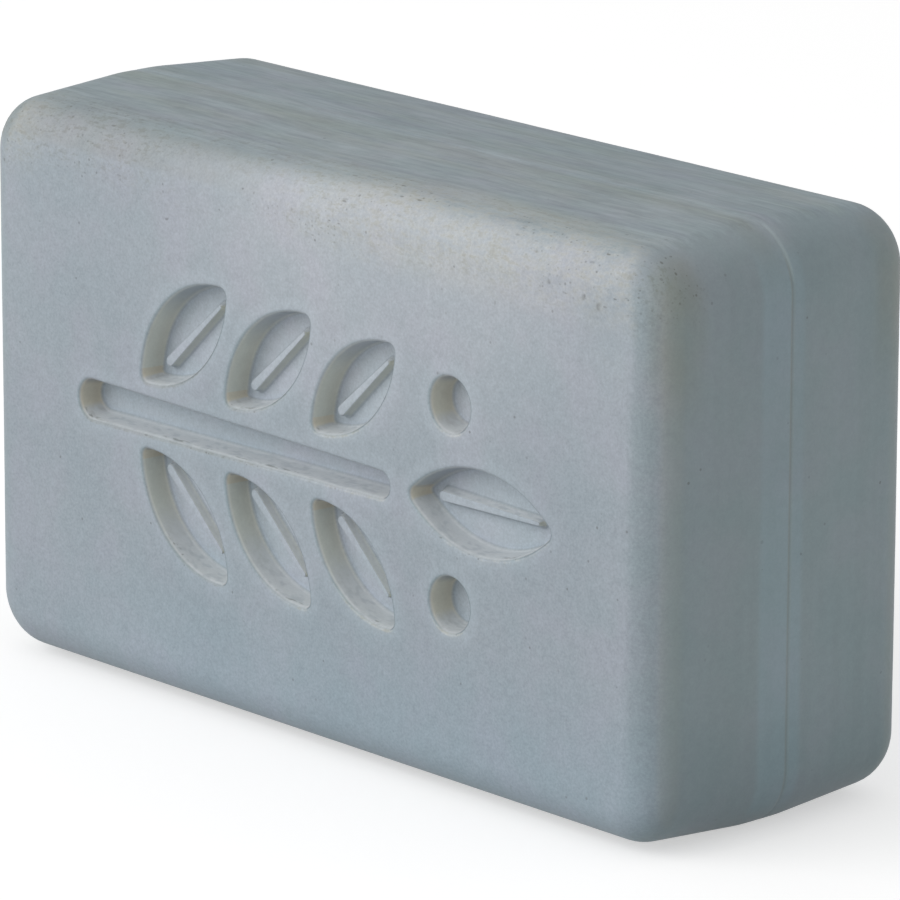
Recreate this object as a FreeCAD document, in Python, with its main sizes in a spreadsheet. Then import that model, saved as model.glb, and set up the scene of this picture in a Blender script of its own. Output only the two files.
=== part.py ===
import FreeCAD, Part
import math
import os

import Sketcher

# Bar of soap standing on its long narrow side, millimetres.
# X is the length, Z is up and z = 0 is the ground. The stamped face looks toward -Y.
# The two dies that press the bar meet on the plane y = 0, which leaves a fine seam round it.

BODY_NAME = "soap_bar"

# Driving dimensions: the cell's name, its value and what it is
DIMENSIONS = [
    ("bar_length", 84.0, "largest length, at the seam"),
    ("bar_height", 49.8, "largest height, at the seam"),
    ("bar_thickness", 29.0, "front face to back face"),
    ("corner_radius", 5.6, "outline's corners at the seam"),
    ("edge_radius", 3.65, "soft edge round each large face"),
    ("land_width", 3.8, "straight band centred on the seam"),
    ("die_draft", 3.9, "lean of each die's side walls, degrees"),
    ("seam_width", 0.5, "mouth of the seam's groove"),
    ("seam_depth", 0.06, "depth of the seam's groove"),
    ("relief_depth", 2.3, "depth of the sprig below the face"),
    ("relief_draft", 7.0, "lean of the sprig's walls, degrees"),
    ("lip_bevel", 0.24, "bevel where the sprig's walls meet the face"),
    ("floor_bevel", 0.3, "bevel where the sprig's walls meet their floors"),
    ("stem_start", -27.1, "centre of the round at the stem's butt, from the middle of the bar"),
    ("stem_end", 9.2, "centre of the round at the stem's thin end"),
    ("stem_butt_width", 3.4, "width of the stem's butt"),
    ("stem_tip_width", 2.2, "width of the stem's thin end"),
    ("leaf_tip_radius", 0.7, "round at both ends of a leaf"),
    ("leaf_angle", 42.0, "side leaves against the stem, degrees"),
    ("leaf_off", 3.6, "side leaf's foot, from the stem's line"),
    ("top_leaf_foot", 13.6, "foot of the leaf that ends the sprig"),
    ("top_leaf_length", 16.4, "length of that leaf"),
    ("top_leaf_width", 7.0, "width of that leaf"),
    ("vein_inset", 1.6, "leaf's foot to its vein's"),
    ("vein_short", 5.2, "how much shorter than its leaf a vein's middle line is"),
    ("vein_foot_width", 1.3, "width of a vein's foot"),
    ("vein_tip_width", 0.8, "width of a vein's end"),
    ("vein_height", 0.8, "height of a vein above the leaf's floor"),
    ("vein_draft", 14.0, "lean of a vein's sides, degrees"),
    ("berry_radius", 2.3, "round berries beside the top leaf"),
    ("berry_along", 17.6, "berries' place along the bar"),
    ("berry_off", 8.3, "berries' distance from the stem's line"),
]

# Side leaves from the butt to the tip: the foot's place along the bar, length and width
SIDE_LEAVES = {
    "first": (-19.9, 13.9, 6.4),
    "second": (-9.1, 13.5, 6.2),
    "third": (1.7, 12.8, 5.9),
}

SMALL = 1e-4


def make_sheet(doc):
    """Spreadsheet that holds every driving dimension under its own name."""
    rows = list(DIMENSIONS)
    for name, (foot, length, width) in SIDE_LEAVES.items():
        rows.append((name + "_leaf_foot", foot, "foot of the " + name + " side leaf"))
        rows.append((name + "_leaf_length", length, "length of the " + name + " side leaf"))
        rows.append((name + "_leaf_width", width, "width of the " + name + " side leaf"))
    sheet = doc.addObject("Spreadsheet::Sheet", "sizes")
    for row, (name, value, meaning) in enumerate(rows, start=1):
        sheet.set("A%d" % row, name)
        sheet.set("B%d" % row, str(value))
        sheet.set("C%d" % row, meaning)
        sheet.setAlias("B%d" % row, name)
    doc.recompute()
    return sheet


# Sketches

def origin_plane(body, role):
    """The body's own origin plane with this role."""
    for feature in body.Origin.OriginFeatures:
        if feature.Role == role:
            return feature
    raise RuntimeError("no origin plane " + role)


def upright_sketch(body, name, forward, up="0"):
    """Sketch parallel to the seam's plane, moved toward the stamped face and up from the ground."""
    sketch = body.newObject("Sketcher::SketchObject", name)
    sketch.AttachmentSupport = [(origin_plane(body, "XZ_Plane"), "")]
    sketch.MapMode = "FlatFace"
    sketch.setExpression(".AttachmentOffset.Base.y", up)
    sketch.setExpression(".AttachmentOffset.Base.z", forward)
    return sketch


def bind(sketch, name, expression, kind, *points):
    """Add a dimension to a sketch and drive it from the sheet."""
    value = sketch.evalExpression(expression)
    sketch.addConstraint(Sketcher.Constraint(kind, *points, value))
    sketch.renameConstraint(sketch.ConstraintCount - 1, name)
    sketch.setExpression("Constraints." + name, expression)


def fix(sketch, kind, *points):
    """Add a constraint that has no size."""
    sketch.addConstraint(Sketcher.Constraint(kind, *points))


def arc(x, y, radius, start, end):
    """Arc of a circle, counter-clockwise between two angles in degrees."""
    circle = Part.Circle(FreeCAD.Vector(x, y, 0), FreeCAD.Vector(0, 0, 1), radius)
    return Part.ArcOfCircle(circle, math.radians(start), math.radians(end))


def line(start, end):
    """Straight line between two points of a sketch."""
    return Part.LineSegment(FreeCAD.Vector(*start, 0), FreeCAD.Vector(*end, 0))


def join_round(sketch, first, count):
    """Join pieces of one closed outline end to start, each tangent to the next."""
    for step in range(count):
        fix(sketch, "Tangent", first + step, 2, first + (step + 1) % count, 1)


# Bar

def draw_outline(sketch, inset):
    """Rounded rectangle that stands on the ground, `inset` inside the bar's largest outline."""
    value = sketch.evalExpression
    half = value("sizes.bar_length / 2 - " + inset)
    low = value(inset)
    high = value("sizes.bar_height - " + inset)
    radius = value("sizes.corner_radius - " + inset)
    right = half - radius
    bottom = low + radius
    top = high - radius
    sketch.addGeometry([
        line((-right, low), (right, low)),
        arc(right, bottom, radius, -90, 0),
        line((half, bottom), (half, top)),
        arc(right, top, radius, 0, 90),
        line((right, high), (-right, high)),
        arc(-right, top, radius, 90, 180),
        line((-half, top), (-half, bottom)),
        arc(-right, bottom, radius, 180, 270),
    ], False)
    join_round(sketch, 0, 8)
    fix(sketch, "Vertical", 2)
    fix(sketch, "Horizontal", 4)
    fix(sketch, "Vertical", 6)
    for corner in (3, 5, 7):
        fix(sketch, "Equal", 1, corner)
    fix(sketch, "Symmetric", 0, 1, 0, 2, -2)
    bind(sketch, "radius", "sizes.corner_radius - " + inset, "Radius", 1)
    bind(sketch, "half_length", "sizes.bar_length / 2 - " + inset, "DistanceX", -1, 1, 2, 1)
    bind(sketch, "height", "sizes.bar_height - 2 * " + inset, "DistanceY", 0, 1, 4, 2)
    if low > SMALL:
        bind(sketch, "bottom", inset, "DistanceY", -1, 1, 0, 1)
    else:
        fix(sketch, "PointOnObject", 0, 1, -1)


def add_layer(body, name, forward, thickness, taper, inset="0"):
    """One layer of the front half, starting `forward` of the seam; a negative taper narrows it."""
    sketch = upright_sketch(body, name + "_outline", forward)
    draw_outline(sketch, inset)
    pad = body.newObject("PartDesign::Pad", name)
    pad.Profile = sketch
    pad.setExpression("Length", thickness)
    pad.setExpression("TaperAngle", taper)
    return pad


def add_halves(doc, body):
    """Front half in layers from the seam to the face, and the back half as its mirror image."""
    seam_side = add_layer(body, "seam_side", "0", "sizes.seam_width / 2",
                          "atan(2 * sizes.seam_depth / sizes.seam_width)", "sizes.seam_depth")
    land = add_layer(body, "land", "sizes.seam_width / 2",
                     "(sizes.land_width - sizes.seam_width) / 2", "0")
    side_wall = add_layer(body, "side_wall", "sizes.land_width / 2",
                          "(sizes.bar_thickness - sizes.land_width) / 2", "-sizes.die_draft")
    doc.recompute()
    back_half = body.newObject("PartDesign::Mirrored", "back_half")
    back_half.Originals = [seam_side, land, side_wall]
    back_half.MirrorPlane = (origin_plane(body, "XZ_Plane"), [""])
    body.Tip = back_half
    doc.recompute()
    return back_half


def edges_at(shape, level):
    """Names of the edges that lie wholly at one distance from the seam's plane."""
    names = []
    for number, edge in enumerate(shape.Edges, start=1):
        box = edge.BoundBox
        if abs(box.YMin - level) < SMALL and abs(box.YMax - level) < SMALL:
            names.append("Edge%d" % number)
    return names


def ease_edges(doc, body, kind, name, base, edges, size):
    """Fillet or chamfer the named edges of a feature."""
    feature = body.newObject("PartDesign::" + kind, name)
    feature.Base = (base, edges)
    feature.setExpression("Radius" if kind == "Fillet" else "Size", size)
    doc.recompute()
    return feature


# Sprig stamped into the front face

def draw_axis(sketch, name, foot, angle, span):
    """Construction line that an outline hangs on. Without an angle it lies on the sprig's line."""
    value = sketch.evalExpression
    turn = math.radians(value(angle)) if angle else 0.0
    start = (value(foot[0]), value(foot[1]))
    reach = value(span)
    end = (start[0] + reach * math.cos(turn), start[1] + reach * math.sin(turn))
    axis = sketch.addGeometry(line(start, end), True)
    bind(sketch, name + "_foot", foot[0], "DistanceX", -1, 1, axis, 1)
    bind(sketch, name + "_span", span, "Distance", axis)
    if angle:
        bind(sketch, name + "_off", foot[1], "DistanceY", -1, 1, axis, 1)
        fix(sketch, "Angle", axis, turn)
        sketch.renameConstraint(sketch.ConstraintCount - 1, name + "_angle")
        sketch.setExpression("Constraints.%s_angle" % name, "%s * 1 deg" % angle)
    else:
        fix(sketch, "PointOnObject", axis, 1, -1)
        fix(sketch, "Horizontal", axis)
    return axis


def add_turned(sketch, axis, outline):
    """Draw four tangent pieces given along the axis line, turned and moved onto it."""
    start = sketch.getPoint(axis, 1)
    end = sketch.getPoint(axis, 2)
    turn = math.atan2(end.y - start.y, end.x - start.x)
    move = FreeCAD.Placement(start, FreeCAD.Rotation(FreeCAD.Vector(0, 0, 1), math.degrees(turn)))
    for piece in outline:
        piece.transform(move.toMatrix())
    first = sketch.GeometryCount
    sketch.addGeometry(outline, False)
    join_round(sketch, first, 4)
    fix(sketch, "Coincident", axis, 1, first + 3, 3)
    fix(sketch, "Coincident", axis, 2, first + 1, 3)
    return first


def draw_slot(sketch, name, foot, angle, span, foot_radius, end_radius):
    """Slot with round ends whose width changes evenly along its axis."""
    value = sketch.evalExpression
    axis = draw_axis(sketch, name, foot, angle, span)
    reach, near, far = value(span), value(foot_radius), value(end_radius)
    lean = math.asin((near - far) / reach)
    across, along = math.cos(lean), math.sin(lean)
    lean = math.degrees(lean)
    first = add_turned(sketch, axis, [
        line((near * along, -near * across), (reach + far * along, -far * across)),
        arc(reach, 0, far, lean - 90, 90 - lean),
        line((reach + far * along, far * across), (near * along, near * across)),
        arc(0, 0, near, 90 - lean, 270 + lean),
    ])
    bind(sketch, name + "_end_radius", end_radius, "Radius", first + 1)
    bind(sketch, name + "_foot_radius", foot_radius, "Radius", first + 3)


def draw_leaf(sketch, name, foot, angle=None):
    """Leaf of two wide arcs that meet in small rounds, its foot's round centred on the given point."""
    value = sketch.evalExpression
    span = "sizes.%s_length - 2 * sizes.leaf_tip_radius" % name
    slack = "sizes.%s_width - 2 * sizes.leaf_tip_radius" % name
    belly = "(%s) ^ 2 / (4 * (%s)) + (%s) / 4 + sizes.leaf_tip_radius" % (span, slack, slack)
    axis = draw_axis(sketch, name, foot, angle, span)
    half_span, tip, belly_radius = value(span) / 2, value("sizes.leaf_tip_radius"), value(belly)
    sink = belly_radius - value("sizes.%s_width / 2" % name)
    spread = math.degrees(math.atan2(half_span, sink))
    first = add_turned(sketch, axis, [
        arc(half_span, sink, belly_radius, -90 - spread, spread - 90),
        arc(2 * half_span, 0, tip, spread - 90, 90 - spread),
        arc(half_span, -sink, belly_radius, 90 - spread, 90 + spread),
        arc(0, 0, tip, 90 + spread, 270 - spread),
    ])
    fix(sketch, "Equal", first, first + 2)
    fix(sketch, "Equal", first + 1, first + 3)
    bind(sketch, name + "_belly", belly, "Radius", first)
    bind(sketch, name + "_tip", "sizes.leaf_tip_radius", "Radius", first + 1)


def draw_vein(sketch, name, foot, angle=None):
    """Slender raised vein along a leaf's middle, clear of both its ends."""
    draw_slot(sketch, name + "_vein", foot, angle, "sizes.%s_length - sizes.vein_short" % name,
              "sizes.vein_foot_width / 2", "sizes.vein_tip_width / 2")


def draw_berry(sketch):
    """Round berry beside the leaf that ends the sprig."""
    value = sketch.evalExpression
    centre = (value("sizes.berry_along"), value("sizes.berry_off"))
    upward = FreeCAD.Vector(0, 0, 1)
    circle = Part.Circle(FreeCAD.Vector(*centre, 0), upward, value("sizes.berry_radius"))
    berry = sketch.addGeometry(circle, False)
    bind(sketch, "berry_radius", "sizes.berry_radius", "Radius", berry)
    bind(sketch, "berry_along", "sizes.berry_along", "DistanceX", -1, 1, berry, 3)
    bind(sketch, "berry_off", "sizes.berry_off", "DistanceY", -1, 1, berry, 3)


def face_sketch(body, name, depth="0"):
    """Sketch on the front face, or `depth` below it, centred on the bar's middle."""
    return upright_sketch(body, name, "sizes.bar_thickness / 2 - " + depth, "sizes.bar_height / 2")


def stamp(doc, body, name, sketch):
    """Sink a sketch's outlines into the front face, with walls that lean in toward their floors."""
    pocket = body.newObject("PartDesign::Pocket", name)
    pocket.Profile = sketch
    pocket.setExpression("Length", "sizes.relief_depth")
    pocket.setExpression("TaperAngle", "-sizes.relief_draft")
    doc.recompute()
    return pocket


def raise_veins(doc, body, name, sketch):
    """Low ridges that stand on the floors of the leaves."""
    pad = body.newObject("PartDesign::Pad", name)
    pad.Profile = sketch
    pad.setExpression("Length", "sizes.vein_height")
    pad.setExpression("TaperAngle", "-sizes.vein_draft")
    doc.recompute()
    return pad


def add_sprig(doc, body):
    """Stem and top leaf on the sprig's line, side leaves and a berry above it and mirrored below."""
    top_foot = ("sizes.top_leaf_foot", "0")
    stem = face_sketch(body, "stem_outline")
    draw_slot(stem, "stem", ("sizes.stem_start", "0"), None, "sizes.stem_end - sizes.stem_start",
              "sizes.stem_butt_width / 2", "sizes.stem_tip_width / 2")
    draw_leaf(stem, "top_leaf", top_foot)
    stamp(doc, body, "stem_stamp", stem)
    top_vein = face_sketch(body, "top_vein_outline", "sizes.relief_depth")
    draw_vein(top_vein, "top_leaf", vein_foot(top_foot))
    raise_veins(doc, body, "top_vein", top_vein)

    upper_outlines = face_sketch(body, "leaf_outlines")
    for name in SIDE_LEAVES:
        draw_leaf(upper_outlines, name + "_leaf", side_foot(name), "sizes.leaf_angle")
    draw_berry(upper_outlines)
    upper_leaves = stamp(doc, body, "upper_leaves", upper_outlines)
    vein_outlines = face_sketch(body, "vein_outlines", "sizes.relief_depth")
    for name in SIDE_LEAVES:
        foot = vein_foot(side_foot(name), "sizes.leaf_angle")
        draw_vein(vein_outlines, name + "_leaf", foot, "sizes.leaf_angle")
    upper_veins = raise_veins(doc, body, "upper_veins", vein_outlines)
    lower_leaves = body.newObject("PartDesign::Mirrored", "lower_leaves")
    lower_leaves.Originals = [upper_leaves, upper_veins]
    lower_leaves.MirrorPlane = (upper_outlines, ["H_Axis"])
    body.Tip = lower_leaves
    doc.recompute()
    return lower_leaves


def side_foot(name):
    """Where a side leaf's foot is, along the bar and off the sprig's line."""
    return ("sizes.%s_leaf_foot" % name, "sizes.leaf_off")


def vein_foot(foot, angle=None):
    """Where the vein of a leaf starts, a little way in from the leaf's foot."""
    if not angle:
        return (foot[0] + " + sizes.vein_inset", "0")
    return ("%s + sizes.vein_inset * cos(%s)" % (foot[0], angle),
            "%s + sizes.vein_inset * sin(%s)" % (foot[1], angle))


def recess_edges(shape, level, outer):
    """Names of the edges round the flat faces at `level`: their outer ones, or those of their holes."""
    wanted = []
    for face in shape.Faces:
        box = face.BoundBox
        if abs(box.YMin - level) > SMALL or abs(box.YMax - level) > SMALL:
            continue
        for wire in face.Wires:
            if wire.isSame(face.OuterWire) == outer:
                wanted.extend(wire.Edges)
    names = []
    for number, edge in enumerate(shape.Edges, start=1):
        if any(edge.isSame(other) for other in wanted):
            names.append("Edge%d" % number)
    return names


# Build and write

def build_bar(doc, sheet):
    """The whole bar as one body."""
    body = doc.addObject("PartDesign::Body", BODY_NAME)
    body.Label = BODY_NAME
    face = sheet.bar_thickness / 2
    halves = add_halves(doc, body)
    face_edges = edges_at(halves.Shape, -face) + edges_at(halves.Shape, face)
    soft_edges = ease_edges(doc, body, "Fillet", "soft_edges", halves, face_edges, "sizes.edge_radius")
    blank_volume = soft_edges.Shape.Volume
    sprig = add_sprig(doc, body)
    if sprig.Shape.Volume > blank_volume - SMALL:
        raise RuntimeError("the sprig cut nothing")
    floors = recess_edges(sprig.Shape, sheet.relief_depth - face, True)
    eased_floors = ease_edges(doc, body, "Chamfer", "eased_floors", sprig, floors, "sizes.floor_bevel")
    mouths = recess_edges(eased_floors.Shape, -face, False)
    eased_lips = ease_edges(doc, body, "Chamfer", "eased_lips", eased_floors, mouths, "sizes.lip_bevel")
    body.Tip = eased_lips
    doc.recompute()
    return body


def check(doc, body):
    """Stop if anything failed on the way."""
    for item in doc.Objects:
        if "Invalid" in item.State or "Error" in item.State:
            raise RuntimeError("%s is %s" % (item.Name, item.State))
    shape = body.Shape
    if shape.isNull() or not shape.isValid() or len(shape.Solids) != 1:
        raise RuntimeError(body.Label + " has no single valid solid")


def main():
    doc = FreeCAD.newDocument("soap")
    sheet = make_sheet(doc)
    body = build_bar(doc, sheet)
    check(doc, body)
    os.makedirs("parts", exist_ok=True)
    body.Shape.exportStep("parts/%s.step" % body.Label)
    box = body.Shape.BoundBox
    print("%s %.2f x %.2f x %.2f mm, %.2f cm3" % (
        body.Label, box.XLength, box.YLength, box.ZLength, body.Shape.Volume / 1000))


main()
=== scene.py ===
"""Bar of soap on a pale floor: the pressed bar with its seam and leaf sprig, and the studio round it.

Metres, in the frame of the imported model: X along the bar, the stamped face toward -Y, Z up, and the
ground at z = 0.
"""

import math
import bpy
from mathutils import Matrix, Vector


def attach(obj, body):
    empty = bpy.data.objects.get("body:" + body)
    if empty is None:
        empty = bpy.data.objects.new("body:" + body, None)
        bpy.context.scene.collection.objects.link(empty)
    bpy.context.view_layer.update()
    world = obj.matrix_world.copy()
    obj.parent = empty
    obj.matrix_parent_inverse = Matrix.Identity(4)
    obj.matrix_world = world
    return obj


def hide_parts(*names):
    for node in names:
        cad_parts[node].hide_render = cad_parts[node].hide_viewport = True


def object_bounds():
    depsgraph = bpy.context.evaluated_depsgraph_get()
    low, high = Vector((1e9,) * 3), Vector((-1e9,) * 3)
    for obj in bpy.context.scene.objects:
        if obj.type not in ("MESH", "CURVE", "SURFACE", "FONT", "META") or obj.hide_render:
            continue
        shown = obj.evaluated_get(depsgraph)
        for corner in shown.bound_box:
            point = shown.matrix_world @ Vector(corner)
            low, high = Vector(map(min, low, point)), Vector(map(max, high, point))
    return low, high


bl_info = {
    "name": "Pressed bar of soap",
    "version": (1, 0, 0),
    "blender": (4, 5, 0),
    "location": "3D View > Sidebar > Soap",
    "description": "Builds a pressed bar of soap with a sunk leaf sprig, and a plain studio for it",
    "category": "Object",
}

import bmesh
import bpy
import numpy as np
from bpy.props import FloatProperty, FloatVectorProperty, PointerProperty
from mathutils import Matrix, Vector, noise
from mathutils.geometry import delaunay_2d_cdt

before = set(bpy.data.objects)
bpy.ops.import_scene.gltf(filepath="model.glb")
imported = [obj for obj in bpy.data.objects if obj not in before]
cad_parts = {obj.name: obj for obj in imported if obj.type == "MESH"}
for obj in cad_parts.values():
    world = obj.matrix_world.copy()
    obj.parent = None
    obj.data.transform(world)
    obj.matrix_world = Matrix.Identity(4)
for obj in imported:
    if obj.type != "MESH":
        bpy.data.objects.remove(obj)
CAD_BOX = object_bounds()

MM = 0.001

# The picture's side in pixels, and the width in millimetres that the lens is given for
FRAME_PIXELS = 900
SENSOR_WIDTH = 36.0

# Shares of the usual step for single regions of the mesh
SOFT_EDGE_STEP = 0.8
RECESS_FLOOR_STEP = 1.3
BACK_FACE_STEP = 1.6

# Fewest faces round any arc, and faces across each small round of a recess
ARC_STEPS = 6
ROUND_STEPS = 4

# Share of a step that inner points keep from the rings round them
CLEARANCE = 0.6

# Distance in millimetres below which two points of a region count as one
SAME_PLACE = 1e-6

# Kind of triangulation that has no faces outside the outer ring
WITHIN_RINGS = 1

# Distance kept for points that are nowhere near a recess
FAR_FROM_RIM = 10 * MM


# Settings a user would change

def length(name, default, description):
    """Length in millimetres, kept in metres."""
    return FloatProperty(name=name, description=description, default=default * MM, unit="LENGTH",
                         precision=5)


def angle(name, default, description):
    """Angle given in degrees."""
    return FloatProperty(name=name, description=description, default=math.radians(default),
                         subtype="ANGLE")


def colour(name, default, description):
    """Colour given as it looks on screen, 0 to 255, and kept as linear light."""
    linear = [to_linear(value / 255) for value in default]
    return FloatVectorProperty(name=name, description=description, default=linear, subtype="COLOR",
                               size=3, min=0.0, max=1.0)


def to_linear(value):
    """Screen value to linear light."""
    if value <= 0.04045:
        return value / 12.92
    return ((value + 0.055) / 1.055) ** 2.4


class SoapBarSettings(bpy.types.PropertyGroup):
    """Shape of the pressed bar."""

    corner_radius: length("Corner radius", 5.6, "Outline's corners at the seam")
    edge_radius: length("Edge radius", 3.65, "Soft edge round each large face")
    land_width: length("Land", 3.8, "Straight band centred on the seam")
    die_draft: angle("Draft", 3.9, "Lean of each die's side walls")
    seam_width: length("Seam width", 0.5, "Mouth of the seam's groove")
    seam_depth: length("Seam depth", 0.06, "Depth of the seam's groove")
    seam_shift: length("Seam shift", -0.3, "Seam's place off the middle of the thickness")
    mesh_step: length("Mesh step", 0.55, "Usual distance between points on the bar")
    waviness: length("Waviness", 0.05, "How far pressed faces dip from flat")


class SoapSprigSettings(bpy.types.PropertyGroup):
    """Leaf sprig sunk into the front face."""

    depth: length("Depth", 2.3, "Depth of the sprig below the face")
    draft: angle("Draft", 7.0, "Lean of the sprig's walls")
    lip_radius: length("Lip radius", 0.42, "Soft rim where the walls meet the face")
    floor_radius: length("Floor radius", 0.4, "Round where the walls meet a floor")
    stem_start: length("Stem start", -27.1, "Centre of the round at the stem's butt")
    stem_end: length("Stem end", 9.2, "Centre of the round at the stem's thin end")
    stem_butt_width: length("Stem butt", 3.4, "Width of the stem's butt")
    stem_tip_width: length("Stem tip", 2.2, "Width of the stem's thin end")
    leaf_tip_radius: length("Leaf tip radius", 0.7, "Round at both ends of a leaf")
    leaf_angle: angle("Leaf angle", 42.0, "Side leaves against the stem")
    leaf_off: length("Leaf offset", 3.6, "Side leaf's foot, from the stem's line")
    vein_inset: length("Vein inset", 1.6, "Leaf's foot to its vein's")
    vein_short: length("Vein shortening", 5.2, "How much shorter than its leaf a vein's middle line is")
    vein_foot_width: length("Vein foot", 1.3, "Width of a vein's foot")
    vein_tip_width: length("Vein tip", 0.8, "Width of a vein's end")
    vein_height: length("Vein height", 0.8, "Height of a vein above the leaf's floor")
    vein_draft: angle("Vein draft", 14.0, "Lean of a vein's sides")
    vein_top_radius: length("Vein top radius", 0.14, "Soft top edge of a vein")
    berry_radius: length("Berry radius", 2.3, "Round berries beside the top leaf")
    berry_along: length("Berry place", 17.6, "Berries' place along the bar")
    berry_off: length("Berry offset", 8.3, "Berries' distance from the stem's line")
    mesh_step: length("Mesh step", 0.36, "Distance between points round the sprig")


class SoapFinishSettings(bpy.types.PropertyGroup):
    """Colours of the pressed soap."""

    body: colour("Soap", (157, 165, 173), "Pressed face at middle height")
    # Painted light: paler colour on the upper middle of the face, where the front light falls strongest
    upper_light: colour("Faded", (176, 181, 188), "Upper middle of the face, where the soap has dried")
    # Painted shade: bluer and darker colour low on the front, where less light reaches
    low_shade: colour("Damp", (152, 166, 176), "Foot of the bar")
    # Painted shade tone: the top, ends and seam take a greener colour than the lit front
    side: colour("Sides", (153, 166, 171), "Top, ends and seam")
    dry: colour("Dry bloom", (192, 193, 189), "Pale dry film on the rubbed top edge")
    pit: colour("Pits", (92, 92, 86), "Small dark pits and specks")
    # Painted light: the sprig's walls are paler and warmer than the face, for light the soap carries
    # into them
    wall: colour("Recess walls", (203, 208, 200), "Warm grey of the sprig's walls")
    # Painted light: the sprig's walls that look up are paler, lit from above
    ledge: colour("Recess ledges", (198, 203, 206), "Pale walls of the sprig that look up")


class SoapStageSettings(bpy.types.PropertyGroup):
    """Camera, lights and floor."""

    camera_turn: angle("Camera turn", 47.577,
                       "How far the camera stands round toward the bar's right end")
    camera_height: angle("Camera height", 15.127, "How far the camera looks down")
    camera_roll: angle("Camera roll", -0.163, "Tilt of the camera about its own line of sight")
    camera_distance: length("Camera distance", 598.15, "Camera to the middle of the bar")
    lens: FloatProperty(name="Lens", description="Focal length on a 36 mm frame", default=288.19)
    pixels_right: FloatProperty(name="Bar to the right", default=-15.03,
                                description="Bar's middle from the frame's, in pixels")
    pixels_down: FloatProperty(name="Bar down", default=-18.4,
                               description="Bar's middle from the frame's, in pixels")
    key_power: FloatProperty(name="Key light", description="Soft front light", default=4.75,
                             unit="POWER")
    key_size: length("Key light size", 800.0, "Side of the front light")
    key_distance: length("Key light distance", 900.0, "Front light to the bar")
    key_direction: FloatVectorProperty(name="Key light direction", default=(-0.377, -0.808, 0.454),
                                       description="From the bar toward the light", subtype="XYZ")
    world_strength: FloatProperty(name="Room light", description="Even light from all round",
                                  default=0.62)
    floor_grey: FloatProperty(name="Floor", description="Share of light the floor throws back",
                              default=0.62)
    floor_glow: FloatProperty(name="Floor glow", description="Light the camera adds to the floor",
                              default=0.52)
    floor_half: FloatProperty(name="Floor half side", description="Middle of the floor to its edge",
                              default=3.0, unit="LENGTH")


# Outlines: points in a face's plane with the inward direction at each

class Outline:
    """Closed convex outline of arcs and lines, counter-clockwise, sampled so that it can be offset."""

    def __init__(self, step):
        self.step = step
        self.points = []
        self.inward = []
        self.bend = []

    def add_line(self, start, end):
        start, end = np.array(start), np.array(end)
        reach = np.linalg.norm(end - start)
        count = max(1, round(reach / self.step))
        along = (end - start) / reach
        for share in np.arange(count) / count:
            self.points.append(start + (end - start) * share)
            self.inward.append((-along[1], along[0]))
            self.bend.append(0.0)

    def add_arc(self, centre, radius, start, end):
        count = max(ARC_STEPS, round(radius * (end - start) / self.step))
        for turn in start + (end - start) * np.arange(count) / count:
            outward = np.array((math.cos(turn), math.sin(turn)))
            self.points.append(np.array(centre) + radius * outward)
            self.inward.append(-outward)
            self.bend.append(MM / radius)

    def finish(self, foot=(0.0, 0.0), turn=0.0):
        """Turn the outline about its own start and move it to its foot."""
        c, s = math.cos(turn), math.sin(turn)
        rotation = np.array(((c, s), (-s, c)))
        self.points = np.array(self.points) @ rotation + np.array(foot)
        self.inward = np.array(self.inward) @ rotation
        return self

    def mirrored(self):
        """The same outline below the sprig's line."""
        other = Outline(self.step)
        flip = np.array((1.0, -1.0))
        other.points = (self.points * flip)[::-1]
        other.inward = (self.inward * flip)[::-1]
        other.bend = self.bend[::-1]
        return other

    def ring(self, inset):
        """The outline moved inward."""
        return self.points + self.inward * inset


def rounded_rectangle(half_width, half_height, radius, step):
    """Outline of the bar seen from the front."""
    x, z = half_width - radius, half_height - radius
    quarter = math.pi / 2
    outline = Outline(step)
    outline.add_line((-x, -half_height), (x, -half_height))
    outline.add_arc((x, -z), radius, -quarter, 0.0)
    outline.add_line((half_width, -z), (half_width, z))
    outline.add_arc((x, z), radius, 0.0, quarter)
    outline.add_line((x, half_height), (-x, half_height))
    outline.add_arc((-x, z), radius, quarter, 2 * quarter)
    outline.add_line((-half_width, z), (-half_width, -z))
    outline.add_arc((-x, -z), radius, 2 * quarter, 3 * quarter)
    return outline.finish()


def tapered_slot(reach, foot_radius, end_radius, step, foot, turn=0.0):
    """Slot with round ends of two sizes, from its foot's centre to its end's."""
    lean = math.asin((foot_radius - end_radius) / reach)
    across, along = math.cos(lean), math.sin(lean)
    quarter = math.pi / 2
    foot_x, foot_z = foot_radius * along, foot_radius * across
    end_x, end_z = reach + end_radius * along, end_radius * across
    outline = Outline(step)
    outline.add_line((foot_x, -foot_z), (end_x, -end_z))
    outline.add_arc((reach, 0.0), end_radius, lean - quarter, quarter - lean)
    outline.add_line((end_x, end_z), (foot_x, foot_z))
    outline.add_arc((0.0, 0.0), foot_radius, quarter - lean, 3 * quarter + lean)
    return outline.finish(foot, turn)


def leaf(reach, width, tip_radius, step, foot, turn=0.0):
    """Leaf of two wide arcs that meet in small rounds, whose centres are `reach` apart."""
    half = reach / 2
    slack = width - 2 * tip_radius
    belly = reach ** 2 / (4 * slack) + slack / 4 + tip_radius
    sink = belly - width / 2
    spread = math.atan2(half, sink)
    quarter = math.pi / 2
    outline = Outline(step)
    outline.add_arc((half, sink), belly, -quarter - spread, spread - quarter)
    outline.add_arc((reach, 0.0), tip_radius, spread - quarter, quarter - spread)
    outline.add_arc((half, -sink), belly, quarter - spread, quarter + spread)
    outline.add_arc((0.0, 0.0), tip_radius, quarter + spread, 3 * quarter - spread)
    return outline.finish(foot, turn)


def circle(radius, step, centre):
    """Round outline."""
    outline = Outline(step)
    outline.add_arc((0.0, 0.0), radius, 0.0, 2 * math.pi)
    return outline.finish(centre)


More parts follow.
